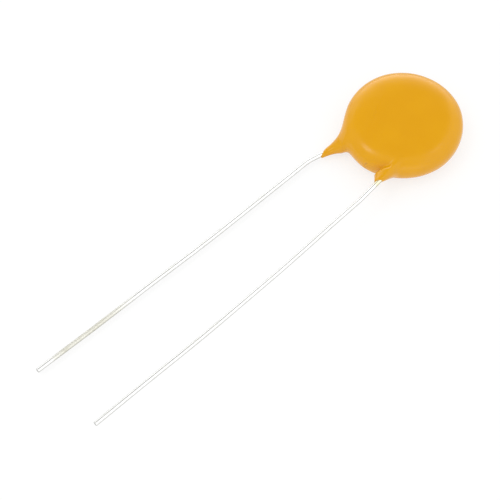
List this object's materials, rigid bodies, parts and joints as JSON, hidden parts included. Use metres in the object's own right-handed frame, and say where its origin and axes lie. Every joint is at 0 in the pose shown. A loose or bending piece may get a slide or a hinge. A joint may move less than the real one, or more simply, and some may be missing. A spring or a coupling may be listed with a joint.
{
  "type": "disc varistor with radial leads",
  "caption": "Round epoxy-coated metal-oxide disc varistor with long radial wire leads, for clamping voltage surges on a circuit board.",
  "frame": {"origin": "middle of the flat rear face that the part lies on, on the axis of the disc", "axes": "+Z is the disc's axis, from the rear face to the front face; -X is the way the leads run; the front lead is on the -Y side"},
  "size_m": [0.0646, 0.0152, 0.0044],
  "materials": {
    "epoxy_coat": "glossy orange dipped epoxy",
    "zinc_oxide_ceramic": "matt sintered",
    "silver_layer": "fired matt silver",
    "tinned_wire": "bright tinned copper",
    "solder": "satin tin solder"
  },
  "bodies": {
    "root": {"epoxy_coating": "epoxy_coat", "ceramic_disc": "zinc_oxide_ceramic", "front_electrode": "silver_layer", "rear_electrode": "silver_layer", "front_lead": "tinned_wire", "rear_lead": "tinned_wire", "front_solder": "solder", "rear_solder": "solder"}
  },
  "joints": []
}
